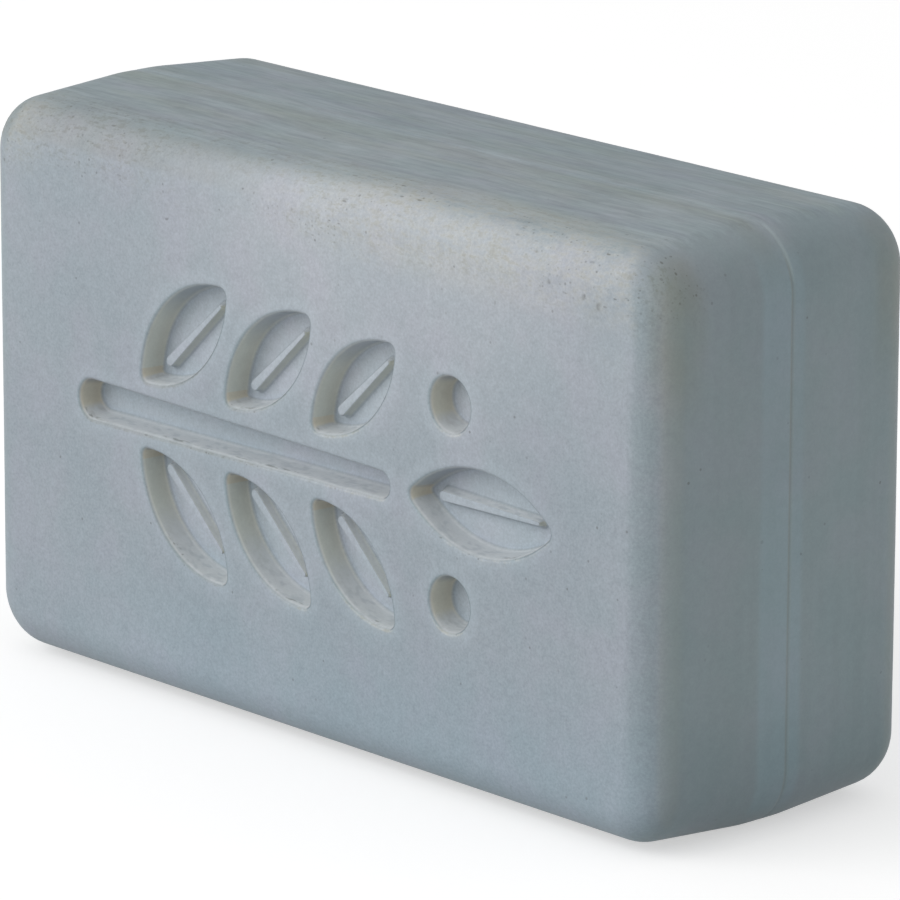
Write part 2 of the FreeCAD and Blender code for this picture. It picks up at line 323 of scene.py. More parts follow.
def wall_profile(travel, lean, start_radius, end_radius, step):
    """Inset and travel along a leaning wall with a round at each end."""
    slope = math.tan(lean)
    profile = []
    centre = start_radius * slope - start_radius / math.cos(lean)
    for turn in np.linspace(0.0, math.pi / 2 - lean, ROUND_STEPS + 1):
        inset = centre + start_radius * math.sin(turn)
        profile.append((inset, start_radius * (1 - math.cos(turn))))
    low = profile[-1][1]
    high = travel - end_radius + end_radius * math.sin(lean)
    count = max(1, round((high - low) / step))
    for height in np.linspace(low, high, count + 1)[1:-1]:
        profile.append((height * slope, height))
    centre = (travel - end_radius) * slope + end_radius / math.cos(lean)
    for turn in np.linspace(lean, math.pi / 2, ROUND_STEPS + 1):
        inset = centre - end_radius * math.cos(turn)
        profile.append((inset, travel - end_radius * (1 - math.sin(turn))))
    return profile


# Skin: one closed mesh built ring by ring

def inside(points, polygon):
    """Which points lie inside a closed polygon."""
    x, z = points[:, 0, None], points[:, 1, None]
    following = np.roll(polygon, -1, axis=0)
    x0, z0 = polygon[:, 0], polygon[:, 1]
    x1, z1 = following[:, 0], following[:, 1]
    crosses = (z0 > z) != (z1 > z)
    rise = np.where(z1 == z0, 1.0, z1 - z0)
    left_of = x < (x1 - x0) * (z - z0) / rise + x0
    return np.count_nonzero(crosses & left_of, axis=1) % 2 == 1


def between(points, polygons):
    """Which points lie inside the first polygon and outside all the others."""
    keep = inside(points, polygons[0])
    for polygon in polygons[1:]:
        keep &= ~inside(points, polygon)
    return keep


def even_points(polygon, step):
    """Points on a triangular grid over a polygon's box."""
    low, high = polygon.min(axis=0), polygon.max(axis=0)
    rise = step * math.sqrt(3) / 2
    rows = []
    for row, z in enumerate(np.arange(low[1] + rise / 2, high[1], rise)):
        x = np.arange(low[0] + step / 2 * (row % 2), high[0], step)
        rows.append(np.column_stack((x, np.full(len(x), z))))
    return np.vstack(rows)


def ring_edges(rings):
    """Pairs of neighbours round each ring, with the points counted on from ring to ring."""
    edges = []
    first = 0
    for ring in rings:
        count = len(ring)
        edges += [(first + here, first + (here + 1) % count) for here in range(count)]
        first += count
    return edges


class Skin:
    """Points and faces of the bar's surface, with what the material needs to know at each point."""

    def __init__(self, middle):
        self.middle = middle
        self.points = np.empty((0, 3))
        self.relief = np.empty(0)
        self.bend = np.empty(0)
        self.faces = []

    def add(self, flat, y, relief=0.0, bend=0.0):
        """Add points given in a plane across Y; returns their numbers."""
        first = len(self.points)
        count = len(flat)
        added = np.column_stack((flat[:, 0], np.full(count, y), flat[:, 1] + self.middle))
        self.points = np.vstack((self.points, added))
        self.relief = np.append(self.relief, np.full(count, relief))
        self.bend = np.append(self.bend, np.broadcast_to(bend, count))
        return np.arange(first, first + count)

    def bridge(self, first, second):
        """Quads between two rings of the same length."""
        count = len(first)
        for here in range(count):
            there = (here + 1) % count
            self.faces.append((first[here], first[there], second[there], second[here]))

    def flat(self, numbers):
        """Points as seen from the front, about the bar's middle height."""
        return self.points[numbers][:, (0, 2)] - np.array((0.0, self.middle))

    def fill(self, outer, holes, step):
        """Even triangles over the flat region inside a ring and outside its holes."""
        rings = [outer] + holes
        border = self.flat(np.concatenate(rings))
        polygons = [self.flat(ring) for ring in rings]
        grid = even_points(polygons[0], step)
        grid = grid[between(grid, polygons)]
        gaps = np.array([np.min(np.hypot(*(border - point).T)) for point in grid])
        grid = grid[gaps > CLEARANCE * step] if len(grid) else grid
        level = self.points[outer[0]][1]
        numbers = np.concatenate(rings + [self.add(grid, level, self.relief[outer[0]])])
        everything = np.vstack((border, grid))
        places = [Vector(point) for point in everything / MM]
        result = delaunay_2d_cdt(places, ring_edges(rings), [], WITHIN_RINGS, SAME_PLACE)
        triangles = np.array(result[2])
        origin = np.array([source[0] for source in result[3]])
        triangles = origin[triangles]
        keep = between(everything[triangles].mean(axis=1), polygons)
        self.faces += [tuple(numbers[corner] for corner in triangle) for triangle in triangles[keep]]


# Bar

# Half of the seam's groove: place across it and depth, as shares of its half width and its depth
SEAM_SHAPE = ((0.0, 1.0), (0.35, 0.67), (0.7, 0.3), (1.0, 0.07), (1.4, 0.0))

# Length over which the straight band turns into the leaning wall
LAND_SOFTNESS = 0.3 * MM


def seam_to_face(bar, half_thickness):
    """Inset of the outline and distance from the seam's plane, from the seam to a large face."""
    half_seam = bar.seam_width / 2
    half_land = bar.land_width / 2
    slope = math.tan(bar.die_draft)
    profile = [(bar.seam_depth * share, half_seam * place) for place, share in SEAM_SHAPE]
    centre_y = half_thickness - bar.edge_radius
    centre_inset = slope * (centre_y - half_land) + bar.edge_radius / math.cos(bar.die_draft)
    wall_end = centre_y + bar.edge_radius * math.sin(bar.die_draft)
    start = profile[-1][1]
    count = round((wall_end - start) / bar.mesh_step)
    for y in np.linspace(start, wall_end, count + 1)[1:]:
        past = y - half_land
        profile.append((slope * (past + math.hypot(past, LAND_SOFTNESS)) / 2, y))
    count = round(bar.edge_radius * math.pi / 2 / (SOFT_EDGE_STEP * bar.mesh_step))
    for turn in np.linspace(bar.die_draft, math.pi / 2, count + 1)[1:]:
        inset = centre_inset - bar.edge_radius * math.cos(turn)
        profile.append((inset, centre_y + bar.edge_radius * math.sin(turn)))
    return profile


def add_shell(skin, outline, profile, seam_shift):
    """Rings from the front face round the seam to the back face; returns the first and last ring."""
    seam = skin.add(outline.ring(profile[0][0]), seam_shift)
    half_thickness = profile[-1][1]
    ends = []
    for side in (-1, 1):
        last = seam
        for inset, distance in profile[1:]:
            shift = seam_shift * (1 - distance / half_thickness)
            ring = skin.add(outline.ring(inset), side * distance + shift)
            skin.bridge(last, ring)
            last = ring
        ends.append(last)
    return ends


def add_recess(skin, outline, sprig, face_y, vein=None):
    """Sink one outline into the face, with its vein if it has one; returns the ring in the face."""
    profile = wall_profile(sprig.depth, sprig.draft, sprig.lip_radius, sprig.floor_radius,
                           sprig.mesh_step)
    rings = []
    for inset, travel in profile:
        rings.append(skin.add(outline.ring(inset), face_y + travel, travel, outline.bend))
    for first, second in zip(rings, rings[1:]):
        skin.bridge(first, second)
    holes = [add_vein(skin, vein, sprig, face_y)] if vein else []
    skin.fill(rings[-1], holes, sprig.mesh_step * RECESS_FLOOR_STEP)
    return rings[0]


def add_vein(skin, outline, sprig, face_y):
    """Raised vein on a leaf's floor; returns the ring where it meets the floor."""
    profile = wall_profile(sprig.vein_height, sprig.vein_draft, sprig.lip_radius,
                           sprig.vein_top_radius, sprig.mesh_step)
    rings = []
    for inset, rise in profile:
        depth = sprig.depth - rise
        rings.append(skin.add(outline.ring(inset), face_y + depth, depth))
    for first, second in zip(rings, rings[1:]):
        skin.bridge(first, second)
    skin.fill(rings[-1], [], sprig.mesh_step)
    return rings[0]


# Leaves: the foot's place along the bar, length and width, in millimetres
TOP_LEAF = (13.6, 16.4, 7.0)
SIDE_LEAVES = ((-19.9, 13.9, 6.4), (-9.1, 13.5, 6.2), (1.7, 12.8, 5.9))


def sprig_outlines(sprig):
    """Every recess of the sprig as a pair: its outline and its vein's outline or None."""
    step = sprig.mesh_step
    reach = sprig.stem_end - sprig.stem_start
    stem = tapered_slot(reach, sprig.stem_butt_width / 2, sprig.stem_tip_width / 2, step,
                        (sprig.stem_start, 0.0))
    berry = circle(sprig.berry_radius, step, (sprig.berry_along, sprig.berry_off))
    recesses = [(stem, None), (berry, None), (berry.mirrored(), None)]
    recesses.append(leaf_and_vein(sprig, TOP_LEAF, 0.0, 0.0))
    for numbers in SIDE_LEAVES:
        blade, vein = leaf_and_vein(sprig, numbers, sprig.leaf_off, sprig.leaf_angle)
        recesses.append((blade, vein))
        recesses.append((blade.mirrored(), vein.mirrored()))
    return recesses


def leaf_and_vein(sprig, numbers, off, turn):
    """Outlines of one leaf and of the vein along its middle."""
    along, reach, width = (number * MM for number in numbers)
    step = sprig.mesh_step
    tip = sprig.leaf_tip_radius
    blade = leaf(reach - 2 * tip, width, tip, step, (along, off), turn)
    foot = (along + sprig.vein_inset * math.cos(turn), off + sprig.vein_inset * math.sin(turn))
    vein = tapered_slot(reach - sprig.vein_short, sprig.vein_foot_width / 2,
                        sprig.vein_tip_width / 2, step, foot, turn)
    return blade, vein


def build_skin(bar, sprig):
    """The whole surface of the bar, in the frame's place."""
    low, high = (np.array(corner) for corner in CAD_BOX)
    half = (high - low) / 2
    skin = Skin((low[2] + high[2]) / 2)
    outline = rounded_rectangle(half[0], half[2], bar.corner_radius, bar.mesh_step)
    front, back = add_shell(skin, outline, seam_to_face(bar, half[1]), bar.seam_shift)
    mouths = []
    for recess, vein in sprig_outlines(sprig):
        mouths.append(add_recess(skin, recess, sprig, -half[1], vein))
    skin.fill(front, mouths, bar.mesh_step)
    skin.fill(back, [], BACK_FACE_STEP * bar.mesh_step)
    return skin, mouths


def rim_distance(skin, mouths):
    """How far each point is from the nearest recess's mouth, seen from the front."""
    rims = skin.flat(np.concatenate(mouths))
    places = skin.points[:, (0, 2)] - np.array((0.0, skin.middle))
    distance = np.full(len(places), FAR_FROM_RIM)
    near = skin.points[:, 1] < 0.0
    distance[near] = [np.min(np.hypot(*(rims - place).T)) for place in places[near]]
    return distance


def make_mesh(name, skin):
    """Mesh with outward faces and smooth shading."""
    mesh = bpy.data.meshes.new(name)
    faces = [tuple(int(corner) for corner in face) for face in skin.faces]
    mesh.from_pydata(skin.points.tolist(), [], faces)
    work = bmesh.new()
    work.from_mesh(mesh)
    bmesh.ops.recalc_face_normals(work, faces=work.faces)
    work.to_mesh(mesh)
    work.free()
    mesh.shade_smooth()
    return mesh


def store(mesh, name, values):
    """Keep one number a point for the material to read."""
    attribute = mesh.attributes.new(name, "FLOAT", "POINT")
    attribute.data.foreach_set("value", np.asarray(values, dtype=np.float32))


# Shallow dents on the front and the right end: place, radius and depth in millimetres
DENTS = (
    ((34.8, -14.5, 43.9), 1.0, 0.08),
    ((36.4, -14.5, 42.0), 2.3, 0.2),
    ((42.0, -7.3, 11.9), 1.3, 0.10),
    ((42.0, -4.0, 13.5), 0.9, 0.07),
    ((-35.0, -14.5, 8.0), 2.2, 0.06),
)


# Slow waves of the pressed surface, its fine unevenness, and how deep the fine one goes
BROAD_WAVE = 16 * MM
FINE_WAVE = 1.7 * MM
FINE_DEPTH = 0.008 * MM

# Height above the ground over which the marks come in, so that the bar still stands flat
STANDING_HEIGHT = 3 * MM


def press_marks(mesh, bar):
    """Sink the surface by small uneven amounts, as pressed and handled soap is."""
    count = len(mesh.vertices)
    places = np.empty(count * 3)
    mesh.vertices.foreach_get("co", places)
    places = places.reshape(-1, 3)
    normals = np.empty(count * 3)
    mesh.vertices.foreach_get("normal", normals)
    normals = normals.reshape(-1, 3)
    broad = np.array([noise.noise(Vector(place) / BROAD_WAVE) for place in places])
    fine = np.array([noise.noise(Vector(place) / FINE_WAVE) for place in places])
    sink = bar.waviness * (0.5 + 0.5 * broad) + FINE_DEPTH * (1 + fine)
    for centre, radius, depth in DENTS:
        reach = np.linalg.norm(places - np.array(centre) * MM, axis=1) / (radius * MM)
        sink += depth * MM * np.exp(-reach ** 2)
    sink *= np.clip(places[:, 2] / STANDING_HEIGHT, 0.0, 1.0)
    places -= normals * sink[:, None]
    mesh.vertices.foreach_set("co", places.ravel())
    mesh.update()


# Material

# Cells a metre of the soap's finest grain
GRAIN_CELLS = 4200.0

# Dark marks on the front: place along and up the face, and radius, in millimetres
SMUDGES = (
    ((34.6, 44.4), 0.45),
    ((33.0, 44.9), 0.35),
    ((29.0, 45.4), 0.3),
    ((22.9, 42.6), 0.28),
    ((-17.2, 42.4), 0.25),
)


class Nodes:
    """Short way to add and join the nodes of one tree."""

    def __init__(self, tree):
        self.tree = tree
        tree.nodes.clear()

    def add(self, kind, inputs=None, **settings):
        node = self.tree.nodes.new(kind)
        for key, value in settings.items():
            setattr(node, key, value)
        for key, value in (inputs or {}).items():
            self.feed(node.inputs[key], value)
        return node

    def feed(self, socket, value):
        """Link a socket to another node, or give it a plain value."""
        if isinstance(value, bpy.types.NodeSocket):
            self.tree.links.new(value, socket)
        elif socket.type == "RGBA":
            socket.default_value = (*value, 1.0)
        else:
            socket.default_value = value

    def math(self, operation, first, second=0.0):
        return self.add("ShaderNodeMath", {0: first, 1: second}, operation=operation).outputs[0]

    def product(self, *factors):
        result = factors[0]
        for factor in factors[1:]:
            result = self.math("MULTIPLY", result, factor)
        return result

    def total(self, *terms):
        result = terms[0]
        for term in terms[1:]:
            result = self.math("ADD", result, term)
        return result

    def remap(self, value, low, high, to_low=0.0, to_high=1.0):
        """Smooth step of a value from one range to another."""
        ends = {"Value": value, "From Min": low, "From Max": high, "To Min": to_low, "To Max": to_high}
        return self.add("ShaderNodeMapRange", ends, interpolation_type="SMOOTHSTEP").outputs[0]

    def band(self, value, low, high, soft):
        """One between two limits, fading to nothing just outside them."""
        above = self.remap(value, low - soft, low + soft)
        below = self.remap(value, high + soft, high - soft)
        return self.product(above, below)

    def stretched(self, place, cells):
        """Place scaled by its own number of cells a metre along each axis."""
        return self.add("ShaderNodeVectorMath", {0: place, 1: cells}, operation="MULTIPLY").outputs[0]

    def noise(self, place, cells, detail=2.0, roughness=0.5):
        """Noise about one half; cells a metre are given along each axis or for all three."""
        if isinstance(cells, tuple):
            place = self.stretched(place, cells)
            cells = 1.0
        inputs = {"Vector": place, "Scale": cells, "Detail": detail, "Roughness": roughness}
        return self.add("ShaderNodeTexNoise", inputs).outputs["Fac"]

    def blend(self, factor, first, second, kind="MIX"):
        node = self.add("ShaderNodeMix", {0: factor, 6: first, 7: second}, data_type="RGBA",
                        blend_type=kind)
        return node.outputs[2]

    def tint(self, factor, base, shares):
        """Scale each channel of a colour where the factor is high."""
        return self.blend(factor, base, shares, "MULTIPLY")

    def swing(self, base, pattern, strength):
        """Make a colour paler and darker as a pattern moves about one half."""
        level = self.total(self.product(self.math("SUBTRACT", pattern, 0.5), strength), 1.0)
        return self.blend(1.0, base, level, "MULTIPLY")

    def attribute(self, name):
        return self.add("ShaderNodeAttribute", attribute_name=name).outputs["Fac"]


class Surface:
    """What the soap's material knows at each point: place, facing, and how the recesses lie."""

    def __init__(self, nodes):
        source = nodes.add("ShaderNodeTexCoord")
        self.place = source.outputs["Object"]
        facing = source.outputs["Normal"]
        self.x, self.y, self.z = nodes.add("ShaderNodeSeparateXYZ", {0: self.place}).outputs
        self.right, back, self.up = nodes.add("ShaderNodeSeparateXYZ", {0: facing}).outputs
        self.front = nodes.math("MULTIPLY", back, -1.0)
        self.large = nodes.math("ABSOLUTE", back)
        self.endward = nodes.math("ABSOLUTE", self.right)
        self.upward = nodes.math("MAXIMUM", self.up, 0.0)
        self.relief = nodes.attribute("relief")
        self.rim = nodes.attribute("rim")
        self.bend = nodes.attribute("bend")
        self.sunk = nodes.remap(self.relief, 0.0, 0.11 * MM)
        self.outside = nodes.remap(self.relief, 0.2 * MM, 0.05 * MM)
        self.side = nodes.product(self.outside, nodes.remap(self.large, 0.85, 0.3))
        self.end = nodes.product(self.side, self.endward)
        self.top = nodes.product(self.side, self.upward)
        self.grain = nodes.noise(self.place, GRAIN_CELLS, 2.0, 0.7)


def body_tone(nodes, surface, finish):
    """Lilac-grey face, with painted light on its upper middle, bluer painted shade low down, a greener
    painted shade tone on the sides and painted shadow at the foot of the ends.
    """
    off_middle = nodes.math("ABSOLUTE", nodes.math("SUBTRACT", surface.x, 8 * MM))
    middle = nodes.remap(off_middle, 34 * MM, 6 * MM, 0.25, 1.0)
    # Painted light on the upper middle of the face
    high = nodes.product(nodes.remap(surface.z, 24 * MM, 47 * MM), middle)
    base = nodes.blend(high, finish.body, finish.upper_light)
    # Painted shade, bluer, low on the front and stronger toward the right
    rightward = nodes.remap(surface.x, -40 * MM, -12 * MM, 0.2, 0.8)
    low = nodes.product(nodes.remap(surface.z, 17 * MM, 3 * MM), rightward)
    base = nodes.blend(low, base, finish.low_shade)
    # Painted shade tone on the top, ends and seam
    base = nodes.blend(surface.side, base, finish.side)
    # Painted shadow: the ends darken toward the ground, beside the shadow on the floor
    foot = nodes.product(surface.end, nodes.remap(surface.z, 14 * MM, 2 * MM))
    base = nodes.tint(foot, base, (0.80, 0.82, 0.83))
    cloud = nodes.noise(surface.place, 60.0)
    base = nodes.tint(nodes.remap(cloud, 0.35, 0.65), base, (0.955, 0.965, 0.97))
    drift = nodes.noise(surface.place, 150.0, 2.0, 0.6)
    base = nodes.tint(nodes.remap(drift, 0.38, 0.66), base, (0.955, 0.985, 0.98))
    return nodes.tint(nodes.remap(drift, 0.5, 0.3), base, (1.02, 1.0, 1.015))


def side_tone(nodes, surface, base):
    """Painted shade on the ends and the top, and bands that run along the seam on the top and the ends.
    """
    y = surface.y
    wander = nodes.remap(nodes.noise(surface.place, 45.0, 1.0), 0.3, 0.6, 0.5, 1.0)
    # Painted shade over the ends
    base = nodes.tint(nodes.remap(surface.endward, 0.5, 0.95), base, (0.92, 0.927, 0.925))
    end = nodes.product(nodes.remap(surface.endward, 0.6, 0.95), wander)
    land = nodes.band(y, -3.5 * MM, 1.0 * MM, 0.35 * MM)
    base = nodes.tint(nodes.product(end, land), base, (1.045, 1.10, 1.13))
    behind = nodes.product(end, nodes.remap(y, 0.6 * MM, 1.4 * MM))
    base = nodes.tint(behind, base, (1.03, 1.04, 1.04))
    upright = nodes.noise(surface.place, (700.0, 700.0, 14.0), 1.0)
    streaks = nodes.product(end, nodes.remap(upright, 0.4, 0.65))
    base = nodes.tint(streaks, base, (0.975, 0.975, 0.97))
    # Painted shade over the top
    base = nodes.tint(surface.top, base, (0.915, 0.885, 0.885))
    top = nodes.product(surface.upward, wander)
    before = nodes.band(y, -3.2 * MM, -1.2 * MM, 0.5 * MM)
    base = nodes.tint(nodes.product(top, before), base, (0.955, 0.95, 0.915))
    on_seam = nodes.band(y, -0.9 * MM, 0.4 * MM, 0.4 * MM)
    base = nodes.tint(nodes.product(top, on_seam), base, (1.05, 1.06, 1.06))
    behind = nodes.product(top, nodes.remap(y, 0.4 * MM, 1.2 * MM))
    return nodes.tint(behind, base, (0.91, 0.945, 0.96))


def seam_tone(nodes, surface, base):
    """Thin dark line of painted shade in the seam down the ends, and a painted highlight where it turns
    over the top corners.
    """
    line = nodes.band(surface.y, -0.52 * MM, -0.24 * MM, 0.12 * MM)
    # Painted shade in the seam's groove down the ends
    down_end = nodes.product(nodes.remap(surface.endward, 0.75, 0.95), line)
    base = nodes.tint(down_end, base, (0.88, 0.835, 0.795))
    # Painted highlight on the seam over the top corners
    corner = nodes.product(nodes.remap(surface.endward, 0.2, 0.45),
                           nodes.remap(surface.up, 0.15, 0.45))
    pale = nodes.band(surface.y, -0.4 * MM, -0.05 * MM, 0.2 * MM)
    return nodes.tint(nodes.product(corner, pale), base, (1.17, 1.17, 1.14))


def drawn_streaks(nodes, surface, base):
    """Soft streaks of three widths along the top."""
    level = nodes.product(surface.top, nodes.remap(surface.up, 0.85, 0.99))
    place = shifted(nodes, surface.place, 60.0, 1.2 * MM)
    broad = nodes.noise(place, (50.0, 380.0, 380.0), 1.0)
    warm = nodes.product(level, nodes.remap(broad, 0.5, 0.68))
    base = nodes.tint(warm, base, (0.995, 0.99, 0.95))
    cool = nodes.product(level, nodes.remap(broad, 0.48, 0.3))
    base = nodes.tint(cool, base, (0.985, 0.97, 1.0))
    middle = nodes.noise(place, (90.0, 750.0, 750.0))
    base = nodes.swing(base, middle, nodes.product(level, 0.32))
    fine = nodes.noise(place, (220.0, 2000.0, 2000.0), 2.0, 0.7)
    return nodes.swing(base, fine, nodes.product(level, 0.6))


def end_edges(nodes, surface, base):
    """Painted shade on the rounds between the large faces and the ends, painted light on their end
    halves, and a brown stain near the top corners.
    """
    # Painted shade where the front and back rounds turn toward an end
    face_half = nodes.product(surface.outside, nodes.remap(surface.large, 0.45, 0.65))
    face_half = nodes.product(face_half, nodes.remap(surface.endward, 0.0, 0.32))
    face_half = nodes.product(face_half, nodes.remap(surface.endward, 0.78, 0.6))
    face_half = nodes.product(face_half, nodes.remap(surface.z, 3 * MM, 17 * MM, 0.35, 1.0))
    base = nodes.tint(face_half, base, (0.885, 0.925, 0.91))
    # Painted light on the end half of those rounds
    end_half = nodes.product(surface.outside, nodes.remap(surface.endward, 0.7, 0.82))
    end_half = nodes.product(end_half, nodes.remap(surface.large, 0.05, 0.3))
    base = nodes.tint(end_half, base, (1.05, 1.02, 0.985))
    near_edge = nodes.band(nodes.math("ABSOLUTE", surface.y), 9.6 * MM, 14.0 * MM, 1.2 * MM)
    high = nodes.remap(surface.z, 33 * MM, 43 * MM)
    blotch = nodes.remap(nodes.noise(surface.place, 120.0, 1.0, 0.6), 0.3, 0.6, 0.4, 1.0)
    stain = nodes.product(nodes.remap(surface.endward, 0.3, 0.7), near_edge, high, blotch)
    return nodes.tint(stain, base, (0.985, 0.935, 0.865))


def top_edge(nodes, surface, base, finish):
    """Dry film in patches along the top front edge, and painted shade in patches on that round toward
    the left.
    """
    over_edge = nodes.math("MAXIMUM", nodes.remap(surface.up, 0.0, 0.3),
                           nodes.remap(surface.z, 41.5 * MM, 46.5 * MM))
    edge = nodes.product(surface.outside, over_edge, nodes.remap(surface.y, -8 * MM, -10.8 * MM))
    kept = nodes.math("MAXIMUM", nodes.remap(surface.x, -13 * MM, 14 * MM, 0.12, 1.0),
                      nodes.remap(surface.x, -31 * MM, -38 * MM, 0.0, 0.7))
    patch = nodes.noise(surface.place, (45.0, 150.0, 150.0), 3.0, 0.65)
    drag = nodes.noise(surface.place, (900.0, 2000.0, 2000.0), 2.0, 0.8)
    rows = nodes.total(patch, nodes.product(drag, 0.7))
    film = nodes.product(edge, kept, nodes.remap(rows, 0.6, 1.05),
                         nodes.remap(surface.endward, 0.4, 0.1))
    cover = nodes.product(film, nodes.remap(surface.large, 0.1, 0.6, 0.4, 0.65))
    base = nodes.blend(cover, base, finish.dry)
    # Painted shade in patches on the top front round, left of the middle
    edge_shade = nodes.product(edge, nodes.remap(surface.large, 0.2, 0.6),
                         nodes.remap(surface.up, 0.05, 0.3), nodes.remap(surface.x, 0.0, -14 * MM),
                         nodes.remap(patch, 0.3, 0.5, 0.5, 1.0))
    base = nodes.tint(edge_shade, base, (0.92, 0.895, 0.86))
    streaked = nodes.product(edge, nodes.remap(drag, 0.5, 0.66), nodes.remap(patch, 0.36, 0.56))
    return nodes.tint(streaked, base, (0.87, 0.86, 0.82)), edge, film


def dark_marks(nodes, surface, edge):
    """Fine pits and short nicks, thick on the rubbed edge and rare elsewhere."""
    crowd = nodes.noise(surface.place, (60.0, 170.0, 170.0), 1.0, 0.6)
    many = nodes.product(edge, nodes.remap(crowd, 0.36, 0.6, 0.15, 1.0))
    pits = pit_dots(nodes, surface.place, (2600.0, 3400.0, 3400.0), 0.7)
    nicks = pit_dots(nodes, surface.place, (900.0, 2400.0, 2400.0), 0.8)
    rarity = nodes.remap(many, 0.0, 0.6, 0.99, 0.94)
    specks = pit_dots(nodes, surface.place, (2100.0,) * 3, rarity)
    specks = nodes.product(specks, surface.outside, 0.8)
    marks = nodes.math("MAXIMUM", nodes.product(pits, many, 0.75), nodes.product(nicks, many))
    return nodes.math("MAXIMUM", marks, specks)


def pit_dots(nodes, place, cells, rarity):
    """Uneven dots in some cells of a pattern; a rarity near one leaves few."""
    place = nodes.stretched(place, cells)
    pattern = nodes.add("ShaderNodeTexVoronoi", {"Vector": place, "Scale": 1.0})
    chance, size, strength = nodes.add("ShaderNodeSeparateColor", {0: pattern.outputs["Color"]}).outputs
    reach = nodes.remap(size, 0.0, 1.0, 0.14, 0.34)
    dot = nodes.remap(nodes.math("SUBTRACT", reach, pattern.outputs["Distance"]), -0.05, 0.12)
    chosen = nodes.math("GREATER_THAN", chance, rarity)
    return nodes.product(dot, chosen, nodes.remap(strength, 0.0, 1.0, 0.35, 1.0))


def smudges(nodes, surface):
    """Small uneven dark marks at set places on the front."""
    wobble = 0.5 * MM
    place = shifted(nodes, surface.place, 1800.0, wobble)
    front = CAD_BOX[0][1]
    result = 0.0
    for (x, z), radius in SMUDGES:
        centre = (x * MM + wobble / 2, front + wobble / 2, z * MM + wobble / 2)
        gap = nodes.add("ShaderNodeVectorMath", {0: place, 1: centre}, operation="DISTANCE")
        mark = nodes.remap(gap.outputs["Value"], radius * MM, 0.1 * radius * MM, 0.0, 0.85)
        result = nodes.math("MAXIMUM", result, mark)
    return result


def recess_tone(nodes, surface, base, finish):
    """Painted light on the walls, warm painted shade deep down and in the blind ends, painted light on
    the floors with lilac painted shade at their foot, a dark line of painted shade on the far lips and
    a painted light halo round the mouths.
    """
    # Painted light on the sprig's walls that face sideways
    wall = nodes.product(surface.sunk, nodes.remap(surface.front, 0.9, 0.35))
    sideways = nodes.product(wall, nodes.remap(nodes.math("ABSOLUTE", surface.up), 0.95, 0.5))
    base = nodes.blend(nodes.product(sideways, 0.9), base, finish.wall)
    # Painted shade, warm, deep down the side walls
    deep = nodes.remap(surface.relief, 0.5 * MM, 2.2 * MM)
    base = nodes.tint(nodes.product(sideways, deep), base, (0.95, 0.92, 0.9))
    # Painted warm shade in the narrow blind ends
    blind_end = nodes.product(wall, nodes.remap(surface.bend, 0.25, 0.6))
    base = nodes.tint(blind_end, base, (1.03, 0.94, 0.86))
    # Painted light on the recess floors
    floor = nodes.product(surface.sunk, nodes.remap(surface.front, 0.85, 0.97))
    base = nodes.tint(floor, base, (1.24, 1.23, 1.22))
    # Painted shade, lilac, on the floors near the walls
    foot = nodes.product(floor, nodes.remap(surface.rim, 1.4 * MM, 0.3 * MM))
    base = nodes.tint(foot, base, (0.9, 0.94, 0.985))
    # Painted shade as a thin dark line on the lips that face left
    lip = nodes.band(surface.relief, 0.01 * MM, 0.3 * MM, 0.01 * MM)
    far_lip = nodes.product(lip, nodes.remap(surface.right, -0.12, -0.4))
    base = nodes.tint(far_lip, base, (0.66, 0.67, 0.69))
    # Painted light as a pale halo on the face round the mouths
    near_mouth = nodes.remap(surface.rim, 1.5 * MM, 0.1 * MM)
    halo = nodes.product(near_mouth, surface.outside, nodes.remap(surface.front, 0.8, 0.95))
    return nodes.tint(halo, base, (1.07, 1.075, 1.075)), wall


def ledge_tone(nodes, surface, base, wall, finish):
    """Painted light on walls that look up, in crumbly patches, with crumbly cracks below their rims."""
    ledge = nodes.product(wall, nodes.remap(surface.up, 0.4, 0.8))
    crumbs = nodes.noise(surface.place, (900.0, 1700.0, 1700.0), 1.0, 0.7)
    cover = nodes.product(ledge, nodes.remap(crumbs, 0.3, 0.55, 0.6, 0.95))
    base = nodes.blend(cover, base, finish.ledge)
    near_lip = nodes.band(surface.relief, 0.25 * MM, 0.6 * MM, 0.15 * MM)
    cracks = nodes.noise(surface.place, (650.0, 2600.0, 2600.0), 2.0, 0.7)
    gaps = nodes.remap(nodes.noise(surface.place, 260.0, 0.0), 0.47, 0.6)
    cracks = nodes.product(ledge, near_lip, nodes.remap(cracks, 0.54, 0.62), gaps)
    return nodes.tint(cracks, base, (0.6, 0.6, 0.58)), nodes.product(ledge, crumbs)


def shifted(nodes, place, cells, amount):
    """Place moved about by noise, so that what is drawn there is neither straight nor round."""
    inputs = {"Vector": place, "Scale": cells, "Detail": 0.0}
    wobble = nodes.add("ShaderNodeTexNoise", inputs).outputs["Color"]
    move = {0: wobble, 1: (amount,) * 3, 2: place}
    return nodes.add("ShaderNodeVectorMath", move, operation="MULTIPLY_ADD").outputs[0]


def grain_and_marks(nodes, surface, base, edge, finish):
    """Grain and mottle, weaker on the sides, under the dark marks; returns the grain's share too."""
    grain_share = nodes.remap(surface.large, 0.3, 0.9, 0.35, 1.0)
    mottle_share = nodes.remap(surface.large, 0.3, 0.9, 0.6, 1.0)
    mottle = nodes.noise(surface.place, 1300.0, 1.0)
    base = nodes.swing(base, mottle, nodes.product(mottle_share, 0.16))
    base = nodes.swing(base, surface.grain, nodes.product(grain_share, 0.45))
    marks = nodes.math("MAXIMUM", dark_marks(nodes, surface, edge), smudges(nodes, surface))
    return nodes.blend(nodes.product(marks, 0.6), base, finish.pit), grain_share


